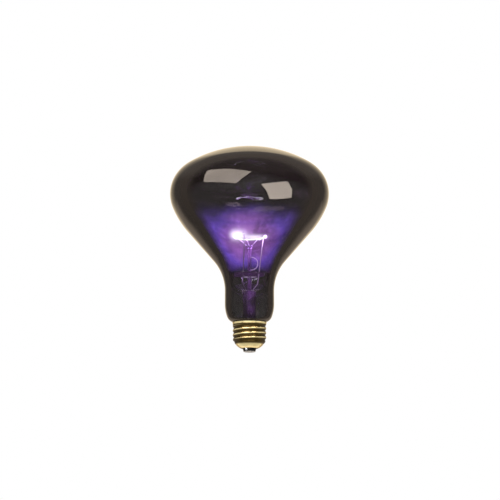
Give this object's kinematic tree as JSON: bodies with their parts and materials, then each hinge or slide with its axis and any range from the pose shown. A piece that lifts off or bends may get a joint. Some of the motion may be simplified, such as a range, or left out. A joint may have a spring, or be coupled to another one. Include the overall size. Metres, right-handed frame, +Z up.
{
  "type": "black light reflector lamp",
  "caption": "Lit reflector-shaped black light bulb of dark violet glass, seen into, on a screw base.",
  "frame": {"origin": "middle of the flat underside of the solder on the centre contact, the lowest point of the base", "axes": "+Z up the bulb's axis from the contact to the crown; +X through the right lead's end of the filament; -Y is the side that faced the camera, where the filament's horseshoe is open"},
  "size_m": [0.127, 0.127, 0.163],
  "materials": {
    "dark_violet_glass": "polished dark violet glass, lit from inside",
    "clear_glass": "clear lamp glass",
    "brass": "bright rolled brass",
    "basing_cement": "matte cement",
    "black_glass": "glossy black insulator glass",
    "solder": "dull silvery solder",
    "contact_metal": "tinned brass",
    "nickel": "drawn nickel wire",
    "copper": "drawn copper-clad wire",
    "molybdenum": "drawn grey wire",
    "glowing_tungsten": "white-hot tungsten coil",
    "shield_sheet": "matte rolled sheet"
  },
  "bodies": {
    "root": {"envelope": "dark_violet_glass", "screw_shell": "brass", "basing_cement": "basing_cement", "base_insulator": "black_glass", "centre_contact": "contact_metal", "contact_solder": "solder", "side_solder": "solder", "stem_flare": "clear_glass", "exhaust_tube": "clear_glass", "arbor_rod": "clear_glass", "heat_shield": "shield_sheet", "right_lead": "nickel", "left_lead": "nickel", "right_seal_wire": "copper", "left_seal_wire": "copper", "contact_wire": "copper", "fuse_sleeve": "clear_glass", "shell_wire": "copper", "filament": "glowing_tungsten", "support_back_right": "molybdenum", "support_back": "molybdenum", "support_back_left": "molybdenum", "support_left": "molybdenum", "tie_loop": "molybdenum"}
  },
  "joints": []
}
